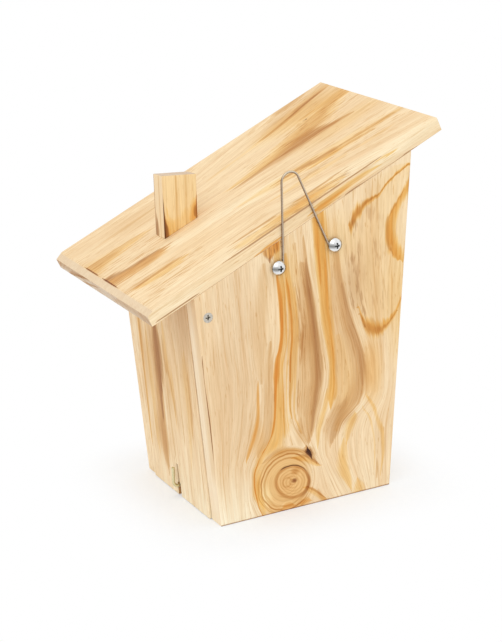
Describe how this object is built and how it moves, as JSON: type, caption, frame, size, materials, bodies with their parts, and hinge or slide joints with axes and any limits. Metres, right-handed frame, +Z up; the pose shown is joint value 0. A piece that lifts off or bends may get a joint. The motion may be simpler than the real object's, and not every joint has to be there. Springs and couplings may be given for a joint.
{
  "type": "bird nest box",
  "caption": "Wooden bird nest box with flared walls, sloping roof, chimney block, round entrance, wire hanger and a pivoting clean-out door held by a bent hook.",
  "frame": {"origin": "middle of the box's foot, on the surface that it stands on", "axes": "+Z up, -Y out of the front with the entrance, +Y out of the back with the hanger, +X out of the clean-out door, down the roof's slope"},
  "size_m": [0.225, 0.1631, 0.2618],
  "materials": {
    "pine": "raw pine, flamed streaks",
    "dowel_wood": "plain beech",
    "hook_brass": "dull brass",
    "hanger_steel": "drawn wire",
    "round_head_plating": "bright plated",
    "screw_zinc": "zinc plated"
  },
  "bodies": {
    "box": {"back_panel": "pine", "chimney_block": "pine", "chimney_screw": "screw_zinc", "dowel_back_floor_1": "dowel_wood", "dowel_back_floor_2": "dowel_wood", "dowel_back_wall_1": "dowel_wood", "dowel_back_wall_2": "dowel_wood", "dowel_back_wall_3": "dowel_wood", "dowel_front_floor_1": "dowel_wood", "dowel_front_floor_2": "dowel_wood", "dowel_front_wall_1": "dowel_wood", "dowel_front_wall_2": "dowel_wood", "dowel_front_wall_3": "dowel_wood", "dowel_roof_back_1": "dowel_wood", "dowel_roof_back_2": "dowel_wood", "dowel_roof_front_1": "dowel_wood", "dowel_roof_front_2": "dowel_wood", "dowel_wall_floor_1": "dowel_wood", "dowel_wall_floor_2": "dowel_wood", "floor_panel": "pine", "front_panel": "pine", "hanger_screw_left": "round_head_plating", "hanger_screw_right": "round_head_plating", "hanger_wire": "hanger_steel", "roof_board": "pine", "side_wall": "pine"},
    "door": {"clean_out_door": "pine", "pivot_screw_front": "screw_zinc", "pivot_screw_back": "screw_zinc"},
    "latch": {"latch_hook": "hook_brass"}
  },
  "joints": [
    {"name": "door_swing", "type": "hinge", "parent": "box", "child": "door", "pos_m": [0.07106, 0, 0.15105], "axis": [0, -1, 0], "range_deg": [0, 80]},
    {"name": "latch_turn", "type": "hinge", "parent": "box", "child": "latch", "pos_m": [0.06, -0.002, 0.0085], "axis": [1, 0, 0], "range_deg": [-90, 90]}
  ]
}
